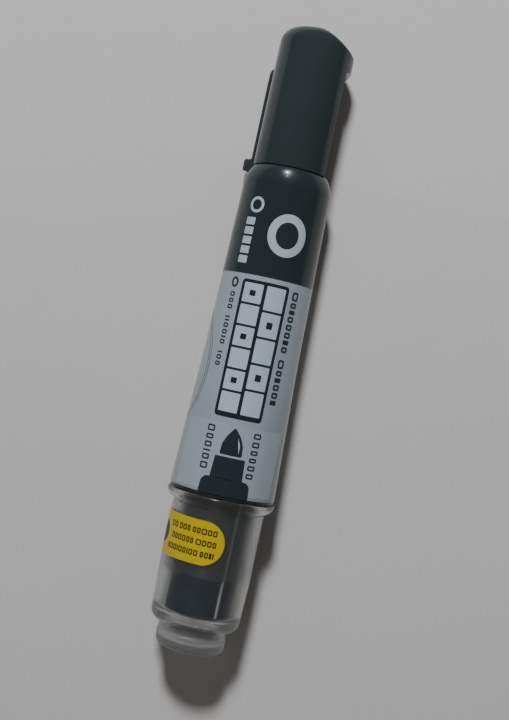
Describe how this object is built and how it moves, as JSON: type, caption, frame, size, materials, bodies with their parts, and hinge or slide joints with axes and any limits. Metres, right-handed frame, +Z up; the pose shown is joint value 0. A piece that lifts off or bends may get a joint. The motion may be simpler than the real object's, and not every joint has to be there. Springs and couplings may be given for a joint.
{
  "type": "whiteboard marker",
  "caption": "Refillable whiteboard marker with a clip cap, tapered labelled barrel, bullet nib, comb feed and an ink cartridge under a translucent rear cover.",
  "frame": {"origin": "under the middle of the marker's length, level with the lowest point of the rear cover's flange", "axes": "+X along the marker towards the end of its cap, +Z up with the marker lying on its side, clip towards +Y and down"},
  "size_m": [0.1374, 0.0237, 0.0237],
  "materials": {
    "cap_plastic": "gloss black moulding",
    "liner_plastic": "natural",
    "black_plastic": "gloss black moulding",
    "barrel_plastic": "translucent moulding over a dark core",
    "label_film": "printed gloss film",
    "grade_sticker": "printed gloss film",
    "yellow_sticker": "printed gloss paper",
    "cover_plastic": "frosted translucent moulding",
    "clear_plastic": "clear moulding",
    "feed_plastic": "natural",
    "nib_fibre": "bonded fibre soaked in ink",
    "wick_fibre": "bonded fibre soaked in ink",
    "spike_steel": "drawn",
    "seal_rubber": "moulded",
    "ink": "liquid"
  },
  "bodies": {
    "barrel": {"barrel": "barrel_plastic", "label_sleeve": "label_film", "grade_sticker": "grade_sticker", "front_collar": "black_plastic", "nib_holder": "black_plastic", "nib": "nib_fibre", "feed_sheath": "feed_plastic", "feed_comb": "feed_plastic", "feed_wick": "wick_fibre", "spike_carrier": "feed_plastic", "spike": "spike_steel", "spike_seal": "seal_rubber", "cartridge_sleeve": "clear_plastic"},
    "cap": {"cap_shell": "cap_plastic", "cap_liner": "liner_plastic"},
    "clip": {"cap_clip": "cap_plastic"},
    "rear_cover": {"rear_cover": "cover_plastic", "warning_sticker": "yellow_sticker"},
    "cartridge": {"cartridge_body": "clear_plastic", "cartridge_plug": "seal_rubber", "ink_charge": "ink"}
  },
  "joints": [
    {"name": "cap_pull", "type": "slide", "parent": "barrel", "child": "cap", "axis": [1, 0, 0], "range_m": [0, 0.045]},
    {"name": "clip_flex", "type": "hinge", "parent": "cap", "child": "clip", "pos_m": [0.05717, 0.00797, 0.0054], "axis": [0, -0.6293, -0.7771], "range_deg": [0, 5], "stiffness_Nm_per_rad": 1},
    {"name": "cover_pull", "type": "slide", "parent": "barrel", "child": "rear_cover", "axis": [-1, 0, 0], "range_m": [0, 0.095]},
    {"name": "cartridge_pull", "type": "slide", "parent": "barrel", "child": "cartridge", "axis": [-1, 0, 0], "range_m": [0, 0.0475]}
  ],
  "couplings": [
    {"joint": "cartridge_pull", "follows": "cover_pull", "ratio": 0.5}
  ]
}
